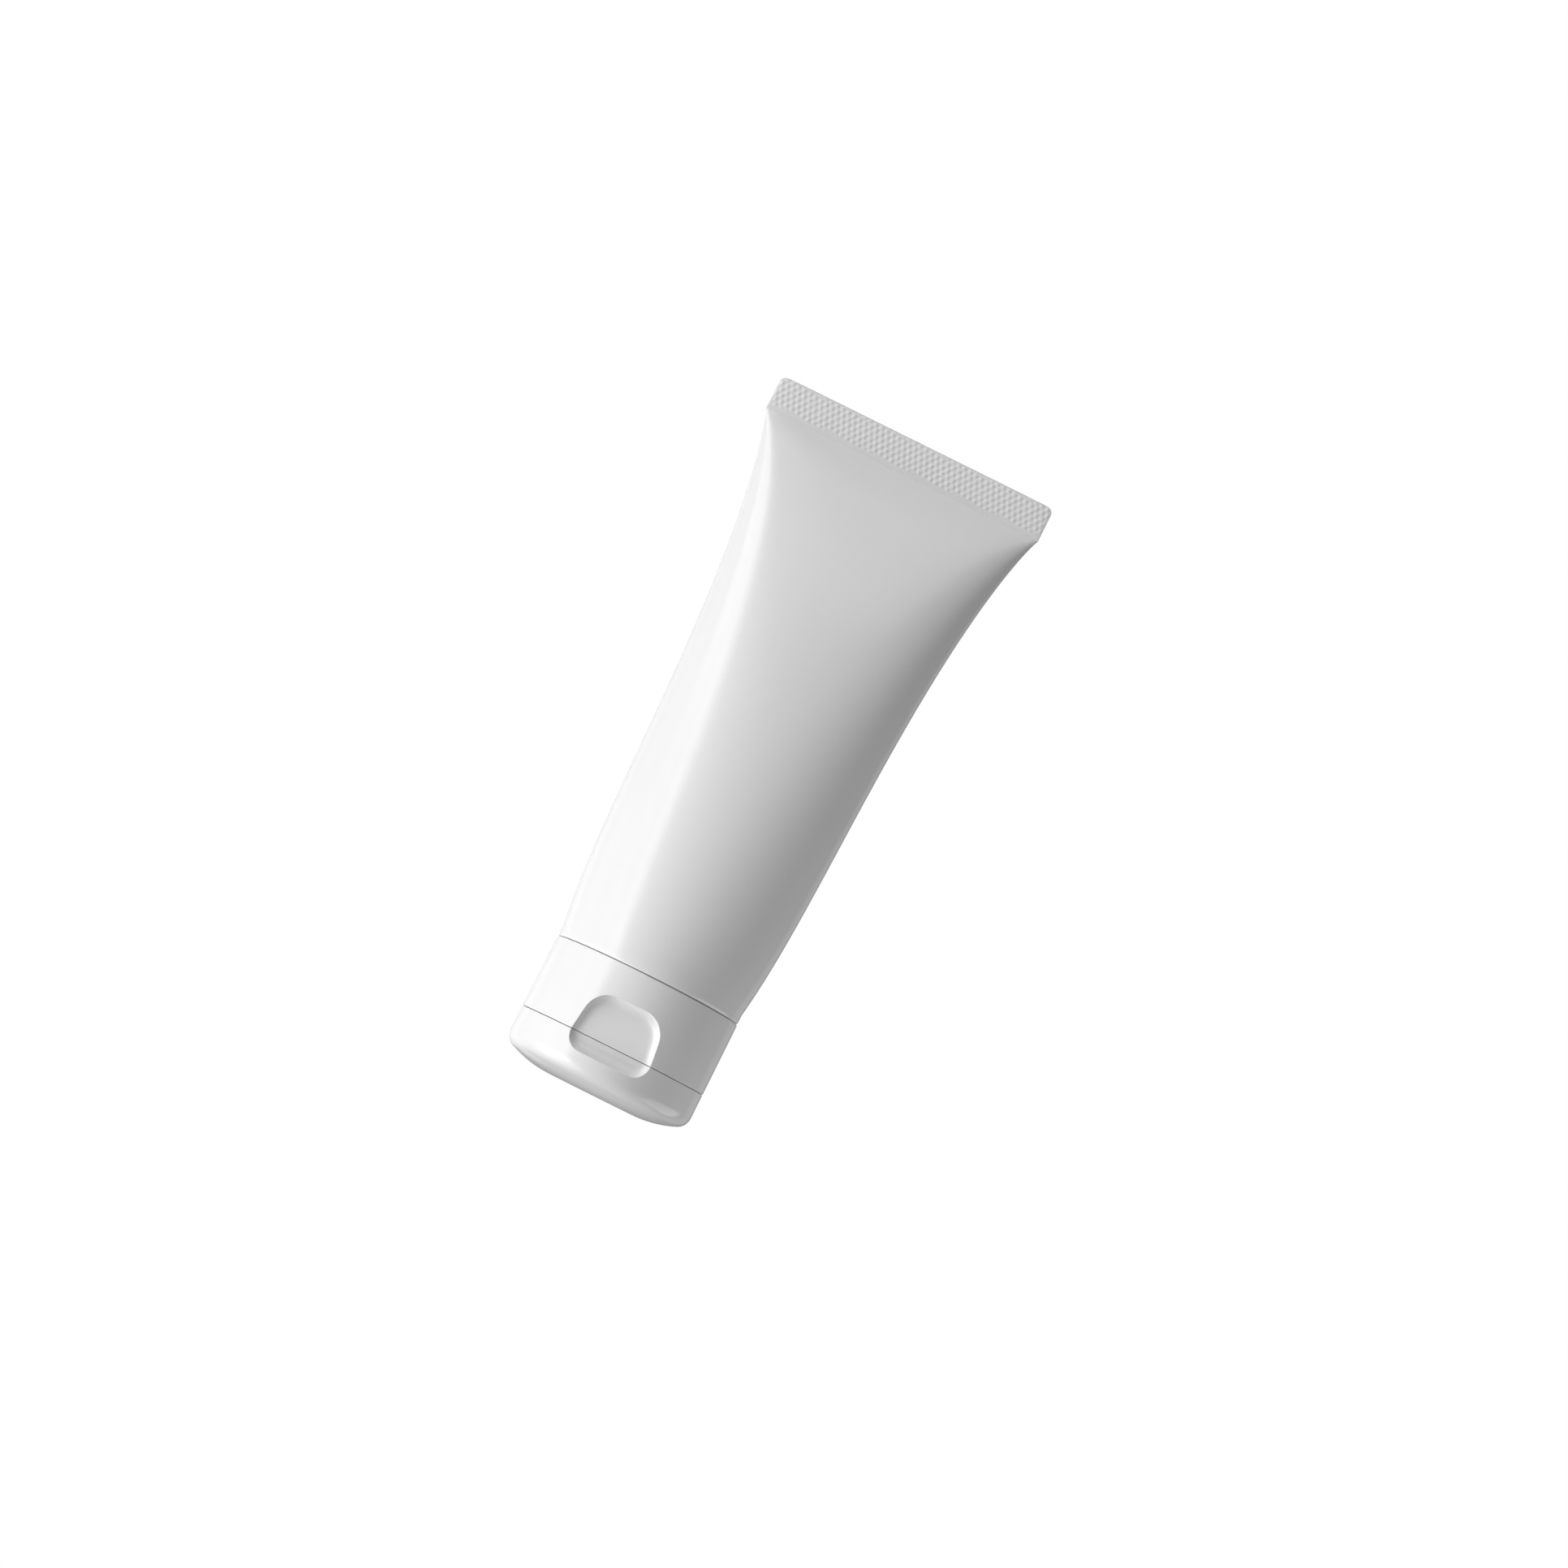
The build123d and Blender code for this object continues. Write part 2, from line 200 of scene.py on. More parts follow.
class TubeStage(bpy.types.PropertyGroup):
    """Camera and light"""

    distance: length("Camera distance", "Level distance from the tube's axis to the camera", 0.48)
    drop: length("Camera drop", "How far the camera is below the lid's end", 0.0012)
    azimuth: angle("Azimuth", "Camera's turn round the tube from its front", 1.69)
    pan: angle("Pan", "Camera's turn to the side from straight ahead", -0.98)
    tilt: angle("Tilt", "Camera's upward tilt", 7.72)
    roll: angle("Roll", "Camera's roll, which leans the tube to the right", 26.59)
    lens: number("Lens", "Focal length in millimetres on a 36 mm sensor", 62.87)
    key: number("Key", "Brightness of the softbox at the left", 1.15)
    strip: number("Strip", "Brightness of the upright strip in front of the softbox", 2.9)
    high_left: number("High left", "Brightness of the softbox over the left side", 1.74)
    low_left: number("Low left", "Brightness of the low softbox at the left", 2.08)
    under_left: number("Under left", "Brightness of the softbox under the left side", 2.09)
    left_back: number("Left back", "Brightness of the softbox behind the left side", 0.7)
    right_back: number("Right back", "Brightness of the softbox behind the right side", 0.3)
    back: number("Back", "Brightness of the softbox high behind the tube", 1.5)
    top: number("Top", "Brightness of the softbox overhead", 0.83)
    front: number("Front", "Brightness of the softbox over the camera", 1.18)
    fill: number("Fill", "Brightness of the panel beside the cap at the right", 1.91)
    room: number("Room", "Grey level of the room", 0.1)


def add(tree, kind, **settings):
    """A new node of that kind in a tree, with its settings."""
    node = tree.nodes.new(kind)
    for name, value in settings.items():
        setattr(node, name, value)
    return node


def feed(tree, socket, value):
    """Links a socket to another, or sets it to a value."""
    if isinstance(value, bpy.types.NodeSocket):
        tree.links.new(value, socket)
    else:
        socket.default_value = value


def maths(tree, operation, *values):
    """The result of one operation on sockets and numbers."""
    node = add(tree, "ShaderNodeMath", operation=operation)
    for socket, value in zip(node.inputs, values):
        feed(tree, socket, value)
    return node.outputs[0]


def combined(tree, x, y, z):
    """A vector made of three sockets or numbers."""
    node = add(tree, "ShaderNodeCombineXYZ")
    for socket, value in zip(node.inputs, (x, y, z)):
        feed(tree, socket, value)
    return node.outputs[0]


def open_tree(name, inputs):
    """A geometry tree with those named inputs and one geometry output, and its two end nodes."""
    tree = bpy.data.node_groups.new(name, "GeometryNodeTree")
    for label, kind in inputs:
        tree.interface.new_socket(label, in_out="INPUT", socket_type=kind)
    tree.interface.new_socket("Geometry", in_out="OUTPUT", socket_type="NodeSocketGeometry")
    return tree, add(tree, "NodeGroupInput").outputs, add(tree, "NodeGroupOutput").inputs[0]


def grown(name, tree, values):
    """The plain mesh that a geometry tree makes of those input values."""
    holder = bpy.data.objects.new(name, bpy.data.meshes.new(name))
    bpy.context.scene.collection.objects.link(holder)
    modifier = holder.modifiers.new("Grow", "NODES")
    modifier.node_group = tree
    for item in tree.interface.items_tree:
        if item.in_out == "INPUT":
            modifier[item.identifier] = values[item.name]
    graph = bpy.context.evaluated_depsgraph_get()
    mesh = bpy.data.meshes.new_from_object(holder.evaluated_get(graph))
    bpy.data.objects.remove(holder)
    return mesh


def placed(name, mesh, material, smooth=True):
    """A new object at the origin with that mesh and material."""
    mesh.materials.clear()
    mesh.materials.append(material)
    mesh.polygons.foreach_set("use_smooth", [smooth] * len(mesh.polygons))
    piece = bpy.data.objects.new(name, mesh)
    bpy.context.scene.collection.objects.link(piece)
    return piece


def tidied(tree, geometry, given, result):
    """Ends a geometry tree with plain, painted geometry."""
    real = add(tree, "GeometryNodeRealizeInstances")
    feed(tree, real.inputs[0], geometry)
    paint = add(tree, "GeometryNodeSetMaterial")
    feed(tree, paint.inputs["Geometry"], real.outputs[0])
    feed(tree, paint.inputs["Material"], given["Material"])
    feed(tree, result, paint.outputs[0])


def bezier_share(tree, way, handle):
    """Share of its half width that a section's Bezier quarter has left, that far round from the side."""
    left = maths(tree, "SUBTRACT", 1.0, way)
    slope = maths(tree, "MULTIPLY_ADD", way, 2.0, 1.0)
    near = maths(tree, "MULTIPLY", maths(tree, "POWER", left, 2.0), slope)
    pull = maths(tree, "MULTIPLY", left, maths(tree, "POWER", way, 2.0))
    far = maths(tree, "MULTIPLY", pull, handle)
    return maths(tree, "MULTIPLY_ADD", far, 3.0, near)


def softened(tree, value, softness):
    """A value that rounds off near zero to that softness."""
    squares = maths(tree, "ADD", maths(tree, "POWER", value, 2.0), maths(tree, "POWER", softness, 2.0))
    return maths(tree, "SQRT", squares)


def sleeve_tree():
    """Geometry tree of the sleeve's skin: sections of one girth, from a circle to a flat, squared seam."""
    lengths = ["Radius", "Inset", "Taper start", "Taper length", "Settle run", "Seal"]
    numbers = ["Settle share", "Bulge power", "Closing power", "Squareness", "Girth fall", "Fairing"]
    inputs = [(label, "NodeSocketFloat") for label in lengths + numbers + ["First share", "Last share"]]
    inputs += [("Around", "NodeSocketInt"), ("Along", "NodeSocketInt"), ("Material", "NodeSocketMaterial")]
    tree, given, result = open_tree("Squeezed sleeve", inputs)
    radius, seal, fairing = given["Radius"], given["Seal"], given["Fairing"]
    grid = add(tree, "GeometryNodeMeshGrid")
    feed(tree, grid.inputs["Size X"], 1.0)
    feed(tree, grid.inputs["Size Y"], 1.0)
    feed(tree, grid.inputs["Vertices X"], given["Around"])
    feed(tree, grid.inputs["Vertices Y"], given["Along"])
    place = add(tree, "ShaderNodeSeparateXYZ")
    feed(tree, place.inputs[0], add(tree, "GeometryNodeInputPosition").outputs[0])
    up = maths(tree, "ADD", place.outputs["Y"], 0.5)
    span = maths(tree, "SUBTRACT", given["Last share"], given["First share"])
    share = maths(tree, "MULTIPLY_ADD", up, span, given["First share"])
    level = maths(tree, "MULTIPLY_ADD", share, given["Taper length"], given["Taper start"])
    above = maths(tree, "MAXIMUM", share, 0.0)
    run = maths(tree, "DIVIDE", maths(tree, "MULTIPLY", above, given["Taper length"]), given["Settle run"])
    gone = maths(tree, "SUBTRACT", 1.0, maths(tree, "EXPONENT", maths(tree, "MULTIPLY", run, -1.0)))
    settled = maths(tree, "SUBTRACT", 1.0, maths(tree, "MULTIPLY", given["Settle share"], gone))
    bulge = maths(tree, "SUBTRACT", 1.0, maths(tree, "POWER", above, given["Bulge power"]))
    closed = maths(tree, "POWER", maths(tree, "MAXIMUM", bulge, 0.0), given["Closing power"])
    free = maths(tree, "SUBTRACT", radius, seal)
    girth_depth = maths(tree, "MULTIPLY_ADD", maths(tree, "MULTIPLY", settled, closed), free, seal)
    square = maths(tree, "MULTIPLY", maths(tree, "POWER", above, 2.0), given["Squareness"])
    power = maths(tree, "SUBTRACT", circle_power, maths(tree, "MULTIPLY", square, given["Girth fall"]))
    quarter = maths(tree, "POWER", maths(tree, "MULTIPLY", radius, math.pi / 2), power)
    rest = maths(tree, "SUBTRACT", quarter, maths(tree, "POWER", girth_depth, power))
    width = maths(tree, "POWER", rest, maths(tree, "DIVIDE", 1.0, power))
    soft = maths(tree, "SUBTRACT", softened(tree, closed, fairing), fairing)
    fair = maths(tree, "DIVIDE", soft, maths(tree, "SUBTRACT", softened(tree, 1.0, fairing), fairing))
    depth = maths(tree, "MULTIPLY_ADD", maths(tree, "MULTIPLY", settled, fair), free, seal)
    turn = maths(tree, "MULTIPLY", maths(tree, "ADD", place.outputs["X"], 0.5), 2 * math.pi)
    side, front = maths(tree, "COSINE", turn), maths(tree, "SINE", turn)
    bow = maths(tree, "ARCTAN2", maths(tree, "ABSOLUTE", front), maths(tree, "ABSOLUTE", side))
    way = maths(tree, "DIVIDE", bow, math.pi / 2)
    handle = maths(tree, "ADD", square, circle_handle)
    half_width = maths(tree, "SUBTRACT", width, given["Inset"])
    wide = maths(tree, "MULTIPLY", half_width, bezier_share(tree, way, handle))
    back = maths(tree, "SUBTRACT", 1.0, way)
    half_depth = maths(tree, "SUBTRACT", depth, given["Inset"])
    deep = maths(tree, "MULTIPLY", half_depth, bezier_share(tree, back, handle))
    across = maths(tree, "MULTIPLY", wide, maths(tree, "SIGN", side))
    inward = maths(tree, "MULTIPLY", deep, maths(tree, "SIGN", front))
    move = add(tree, "GeometryNodeSetPosition")
    feed(tree, move.inputs["Geometry"], grid.outputs["Mesh"])
    feed(tree, move.inputs["Position"], combined(tree, across, inward, level))
    seam = add(tree, "GeometryNodeMergeByDistance")
    feed(tree, seam.inputs["Geometry"], move.outputs[0])
    feed(tree, seam.inputs["Distance"], seam_distance)
    tidied(tree, seam.outputs[0], given, result)
    return tree


def crimp_tree():
    """Geometry tree of the crimped band: a thin plate with round top corners and close-set dots."""
    lengths = ["Half width", "Thickness", "Corner", "Bottom", "Height", "Pitch", "Relief", "Margin", "Foot"]
    inputs = [(label, "NodeSocketFloat") for label in lengths + ["Slant", "Fold", "Fold power"]]
    inputs += [("Columns", "NodeSocketInt"), ("Rows", "NodeSocketInt"), ("Material", "NodeSocketMaterial")]
    tree, given, result = open_tree("Crimped band", inputs)
    corner, pitch, margin = given["Corner"], given["Pitch"], given["Margin"]
    plate = add(tree, "GeometryNodeMeshCube")
    feed(tree, plate.inputs["Size"], (2.0, 2.0, 1.0))
    feed(tree, plate.inputs["Vertices X"], given["Columns"])
    feed(tree, plate.inputs["Vertices Z"], given["Rows"])
    place = add(tree, "ShaderNodeSeparateXYZ")
    feed(tree, place.inputs[0], add(tree, "GeometryNodeInputPosition").outputs[0])
    straight = maths(tree, "SUBTRACT", given["Height"], corner)
    girth = maths(tree, "MULTIPLY_ADD", corner, math.pi / 2, straight)
    along = maths(tree, "MULTIPLY", maths(tree, "ADD", place.outputs["Z"], 0.5), girth)
    over = maths(tree, "MAXIMUM", maths(tree, "SUBTRACT", along, straight), 0.0)
    turn = maths(tree, "DIVIDE", over, corner)
    upright = maths(tree, "MINIMUM", along, straight)
    rise = maths(tree, "MULTIPLY_ADD", maths(tree, "SINE", turn), corner, upright)
    drawn = maths(tree, "MULTIPLY", maths(tree, "SUBTRACT", 1.0, maths(tree, "COSINE", turn)), corner)
    half = maths(tree, "SUBTRACT", given["Half width"], drawn)
    across = maths(tree, "MULTIPLY", place.outputs["X"], half)
    reach = maths(tree, "ABSOLUTE", across)
    wave = maths(tree, "DIVIDE", 4 * math.pi / math.sqrt(3), pitch)
    ripples = -wave_low
    for third in range(3):
        way = maths(tree, "ADD", given["Slant"], third * math.pi / 3)
        upward = maths(tree, "MULTIPLY", rise, maths(tree, "COSINE", way))
        reached = maths(tree, "MULTIPLY_ADD", across, maths(tree, "SINE", way), upward)
        ripple = maths(tree, "COSINE", maths(tree, "MULTIPLY", reached, wave))
        ripples = maths(tree, "ADD", ripple, ripples)
    bump = maths(tree, "DIVIDE", ripples, wave_high - wave_low)
    room_above = maths(tree, "SUBTRACT", given["Height"], rise)
    room_beside = maths(tree, "SUBTRACT", half, reach)
    room_below = maths(tree, "ADD", maths(tree, "SUBTRACT", rise, given["Foot"]), margin)
    room = maths(tree, "MINIMUM", maths(tree, "MINIMUM", room_above, room_beside), room_below)
    fade = add(tree, "ShaderNodeMapRange", interpolation_type="SMOOTHSTEP")
    feed(tree, fade.inputs["Value"], room)
    feed(tree, fade.inputs["From Min"], maths(tree, "MULTIPLY", margin, 0.5))
    feed(tree, fade.inputs["From Max"], maths(tree, "MULTIPLY", margin, 1.5))
    lift = maths(tree, "MULTIPLY", maths(tree, "MULTIPLY", bump, fade.outputs[0]), given["Relief"])
    outer = maths(tree, "MULTIPLY", maths(tree, "DIVIDE", reach, given["Half width"]), given["Fold"])
    thin = maths(tree, "SUBTRACT", 1.0, maths(tree, "POWER", outer, given["Fold power"]))
    folded = maths(tree, "POWER", thin, maths(tree, "DIVIDE", 1.0, given["Fold power"]))
    face = maths(tree, "MULTIPLY_ADD", folded, maths(tree, "MULTIPLY", given["Thickness"], 0.5), lift)
    outward = maths(tree, "MULTIPLY", place.outputs["Y"], face)
    level = maths(tree, "ADD", rise, given["Bottom"])
    move = add(tree, "GeometryNodeSetPosition")
    feed(tree, move.inputs["Geometry"], plate.outputs["Mesh"])
    feed(tree, move.inputs["Position"], combined(tree, across, outward, level))
    tidied(tree, move.outputs[0], given, result)
    return tree


def plastic_group():
    """Shader group for moulded plastic: faint clouding of the colour, uneven gloss and a fine grain."""
    name = "Moulded plastic"
    if name in bpy.data.node_groups:
        return bpy.data.node_groups[name]
    tree = bpy.data.node_groups.new(name, "ShaderNodeTree")
    face = tree.interface
    face.new_socket("Vector", in_out="INPUT", socket_type="NodeSocketVector")
    face.new_socket("Colour", in_out="INPUT", socket_type="NodeSocketColor")
    face.new_socket("Roughness", in_out="INPUT", socket_type="NodeSocketFloat")
    face.new_socket("Grain scale", in_out="INPUT", socket_type="NodeSocketFloat")
    face.new_socket("Colour", in_out="OUTPUT", socket_type="NodeSocketColor")
    face.new_socket("Roughness", in_out="OUTPUT", socket_type="NodeSocketFloat")
    face.new_socket("Height", in_out="OUTPUT", socket_type="NodeSocketFloat")
    given = add(tree, "NodeGroupInput").outputs
    result = add(tree, "NodeGroupOutput").inputs
    cloud = add(tree, "ShaderNodeTexNoise")
    feed(tree, cloud.inputs["Vector"], given["Vector"])
    feed(tree, cloud.inputs["Scale"], cloud_scale)
    feed(tree, cloud.inputs["Detail"], cloud_detail)
    shade = add(tree, "ShaderNodeMapRange")
    feed(tree, shade.inputs["Value"], cloud.outputs["Fac"])
    feed(tree, shade.inputs["To Min"], cloud_low)
    feed(tree, shade.inputs["To Max"], cloud_high)
    tint = add(tree, "ShaderNodeVectorMath", operation="SCALE")
    feed(tree, tint.inputs[0], given["Colour"])
    feed(tree, tint.inputs["Scale"], shade.outputs[0])
    feed(tree, result["Colour"], tint.outputs[0])
    gloss = add(tree, "ShaderNodeTexNoise")
    feed(tree, gloss.inputs["Vector"], given["Vector"])
    feed(tree, gloss.inputs["Scale"], gloss_scale)
    feed(tree, gloss.inputs["Detail"], gloss_detail)
    offset = maths(tree, "SUBTRACT", gloss.outputs["Fac"], 0.5)
    uneven = maths(tree, "MULTIPLY_ADD", offset, gloss_spread, given["Roughness"])
    feed(tree, result["Roughness"], uneven)
    grain = add(tree, "ShaderNodeTexNoise")
    feed(tree, grain.inputs["Vector"], given["Vector"])
    feed(tree, grain.inputs["Scale"], given["Grain scale"])
    feed(tree, grain.inputs["Detail"], grain_detail)
    feed(tree, result["Height"], grain.outputs["Fac"])
    return tree


def plastic(name, tint, roughness, grain_scale, grain_depth):
    """A satin plastic material."""
    material = bpy.data.materials.new(name)
    material.use_nodes = True
    tree = material.node_tree
    shader = tree.nodes["Principled BSDF"]
    group = add(tree, "ShaderNodeGroup", node_tree=plastic_group())
    feed(tree, group.inputs["Vector"], add(tree, "ShaderNodeTexCoord").outputs["Object"])
    feed(tree, group.inputs["Colour"], (*tint, 1.0))
    feed(tree, group.inputs["Roughness"], roughness)
    feed(tree, group.inputs["Grain scale"], grain_scale)
    feed(tree, shader.inputs["Base Color"], group.outputs["Colour"])
    feed(tree, shader.inputs["Roughness"], group.outputs["Roughness"])
    bump = add(tree, "ShaderNodeBump")
    feed(tree, bump.inputs["Strength"], grain_strength)
    feed(tree, bump.inputs["Distance"], grain_depth)
    feed(tree, bump.inputs["Height"], group.outputs["Height"])
    feed(tree, shader.inputs["Normal"], bump.outputs[0])
    return material


def sleeve_plastic():
    """The sleeve's material, made once."""
    looks = bpy.context.scene.tube_looks
    name = "Sleeve plastic"
    if name in bpy.data.materials:
        return bpy.data.materials[name]
    return plastic(name, looks.sleeve, looks.sleeve_roughness, sleeve_grain_scale, sleeve_grain_depth)


def cap_plastic():
    """The cap's material, made once."""
    looks = bpy.context.scene.tube_looks
    name = "Cap plastic"
    if name in bpy.data.materials:
        return bpy.data.materials[name]
    return plastic(name, looks.cap, looks.cap_roughness, cap_grain_scale, cap_grain_depth)


class TUBE_OT_sleeve(bpy.types.Operator):
    """Grows the sleeve's smooth skin, outside and in, over its solid"""

    bl_idname = "tube.sleeve"
    bl_label = "Sleeve"

    def execute(self, context):
        size = context.scene.tube_sleeve
        taper_start = sleeve_low.z + size.round_length
        taper_length = sleeve_high.z - size.crimp_height - taper_start
        values = {
            "Radius": size.radius,
            "Inset": 0.0,
            "Taper start": taper_start,
            "Taper length": taper_length,
            "Settle run": size.settle_run,
            "Seal": size.crimp_thickness / 2,
            "Settle share": size.settle_share,
            "Bulge power": size.bulge_power,
            "Closing power": size.closing_power,
            "Squareness": size.squareness,
            "Girth fall": size.girth_fall,
            "Fairing": size.fairing,
            "First share": (size.edge - size.round_length) / taper_length,
            "Last share": 1.0,
            "Around": sleeve_around,
            "Along": outside_along,
            "Material": sleeve_plastic(),
        }
        tree = sleeve_tree()
        outside = grown("sleeve_outside", tree, values)
        values.update({"Inset": size.wall, "Last share": inside_end, "Along": inside_along})
        inside = grown("sleeve_inside", tree, values)
        inside.flip_normals()
        mesh = bmesh.new()
        mesh.from_mesh(outside)
        mesh.from_mesh(inside)
        rims = [e for e in mesh.edges if e.is_boundary and e.verts[0].co.z < taper_start]
        lip = bmesh.ops.bridge_loops(mesh, edges=rims)["faces"]
        across = {e for f in lip for e in f.edges if self.breadth(e) > size.wall / 2}
        cut = bmesh.ops.subdivide_edges(mesh, edges=list(across), cuts=lip_cuts, use_grid_fill=True)
        for vertex in {v for v in cut["geom_inner"] if isinstance(v, bmesh.types.BMVert)}:
            out = vertex.co.xy.length - (size.radius - size.wall)
            bend = max(0.0, out - (size.wall - size.edge)) / size.edge
            vertex.co.z = sleeve_low.z + size.edge * (1 - math.sqrt(max(0.0, 1 - bend**2)))
        ends = [e for e in mesh.edges if e.is_boundary and e.verts[0].co.z > taper_start]
        bmesh.ops.holes_fill(mesh, edges=ends)
        bmesh.ops.recalc_face_normals(mesh, faces=mesh.faces)
        skin = bpy.data.meshes.new("sleeve_skin")
        mesh.to_mesh(skin)
        mesh.free()
        piece = placed("sleeve_skin", skin, sleeve_plastic())
        skin.set_sharp_from_angle(angle=rim_angle)
        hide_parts("tube_sleeve")
        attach(piece, "tube")
        return {"FINISHED"}

    def breadth(self, edge):
        """How far an edge runs outwards from the tube's axis."""
        one, other = (vertex.co.xy.length for vertex in edge.verts)
        return abs(one - other)


class TUBE_OT_crimp(bpy.types.Operator):
    """Grows the crimped band with its embossed dots on both faces"""

    bl_idname = "tube.crimp"
    bl_label = "Crimped seal"

    def execute(self, context):
        size = context.scene.tube_sleeve
        bottom = sleeve_high.z - size.crimp_height
        step = size.dot_pitch / dot_steps
        values = {
            "Half width": sleeve_high.x,
            "Thickness": size.crimp_thickness,
            "Corner": size.crimp_corner,
            "Bottom": bottom,
            "Height": size.crimp_height,
            "Pitch": size.dot_pitch,
            "Relief": size.dot_relief,
            "Margin": size.dot_margin,
            "Foot": size.dot_foot,
            "Slant": size.dot_slant,
            "Fold": size.fold,
            "Fold power": size.fold_power,
            "Columns": round(2 * sleeve_high.x / step),
            "Rows": round(size.crimp_height / step),
            "Material": sleeve_plastic(),
        }
        mesh = bmesh.new()
        mesh.from_mesh(grown("crimp_band", crimp_tree(), values))
        corners = [e for e in mesh.edges if e.calc_face_angle() > rim_angle]
        rims = [e for e in corners if e.verts[0].co.z > bottom + step / 2]
        bmesh.ops.bevel(
            mesh, geom=rims, offset=size.crimp_edge, segments=rim_steps, profile=0.5, affect="EDGES"
        )
        bmesh.ops.recalc_face_normals(mesh, faces=mesh.faces)
        band_mesh = bpy.data.meshes.new("crimp_band")
        mesh.to_mesh(band_mesh)
        mesh.free()
        band = placed("crimp_band", band_mesh, sleeve_plastic())
        band_mesh.set_sharp_from_angle(angle=rim_angle)
        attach(band, "tube")
        return {"FINISHED"}


class TUBE_OT_cap(bpy.types.Operator):
    """Gives the cap's solids and the tube's head their moulded plastic"""

    bl_idname = "tube.cap"
    bl_label = "Cap and head"

    def execute(self, context):
        finishes = {
            "cap_base": cap_plastic(),
            "spout_insert": cap_plastic(),
            "flip_lid": cap_plastic(),
            "tube_head": sleeve_plastic(),
        }
        for name, material in finishes.items():
            solid = frame["nodes"][name].data
            solid.materials.clear()
            solid.materials.append(material)
        return {"FINISHED"}


class TUBE_OT_hinge(bpy.types.Operator):
    """Builds the hinge's films and bowed strap in place of their solids"""

    bl_idname = "tube.hinge"
    bl_label = "Hinge"

    def execute(self, context):
        size = context.scene.tube_hinge
        inner = strap_high.x + size.film_gap
        mesh = bmesh.new()
        for side in (-1, 1):
            section = [
                (side * inner, film_low.y),
                (side * film_high.x, film_low.y),
                (side * film_high.x, film_high.y),
                (side * inner, film_high.y),
            ]
            rise = (film_high.z - film_low.z) / film_steps
            levels = [film_low.z + rise * i for i in range(film_steps + 1)]
            self.sweep(mesh, [[Vector((x, y, z)) for x, y in section] for z in levels])
        self.bend(mesh, "hinge_film_bands", "hinge_films", size.film_reach)
        mesh = bmesh.new()
        reach = (strap_high.z - strap_low.z) / 2
        bow = strap_high.y - strap_low.y
        rings = []
        for i in range(strap_steps + 1):
            share = -1 + 2 * i / strap_steps
            outer = self.arc(share, reach, bow)
            inside = self.arc(share, reach - size.strap_foot, bow - size.strap_thickness)
            rings.append(
                [
                    Vector((strap_low.x, strap_low.y + inside[0], hinge_line.z + inside[1])),
                    Vector((strap_high.x, strap_low.y + inside[0], hinge_line.z + inside[1])),
                    Vector((strap_high.x, strap_low.y + outer[0], hinge_line.z + outer[1])),
                    Vector((strap_low.x, strap_low.y + outer[0], hinge_line.z + outer[1])),
                ]
            )
        self.sweep(mesh, rings)
        self.bend(mesh, "hinge_bow_strap", "hinge_strap", size.strap_reach)
        return {"FINISHED"}

    def arc(self, share, reach, bow):
        """Place along a circular bow, as its rise and its level, for a share from -1 to 1."""
        radius = (reach**2 + bow**2) / (2 * bow)
        turn = share * math.asin(reach / radius)
        return radius * math.cos(turn) - (radius - bow), radius * math.sin(turn)

    def sweep(self, mesh, rings):
        """Skins a row of four-cornered sections and closes its ends."""
        rows = [[mesh.verts.new(corner) for corner in ring] for ring in rings]
        for low, high in zip(rows, rows[1:]):
            for i in range(4):
                mesh.faces.new((low[i], low[(i + 1) % 4], high[(i + 1) % 4], high[i]))
        mesh.faces.new(list(reversed(rows[0])))
        mesh.faces.new(rows[-1])

    def bend(self, mesh, name, node, reach):
        """Turns a mesh into a piece that replaces a node."""
        bmesh.ops.recalc_face_normals(mesh, faces=mesh.faces)
        data = bpy.data.meshes.new(name)
        mesh.to_mesh(data)
        mesh.free()
        piece = placed(name, data, cap_plastic(), smooth=False)
        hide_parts(node)
        start, end = hinge_line.copy(), hinge_line.copy()
        start.z += reach
        end.z -= reach
        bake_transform(piece)


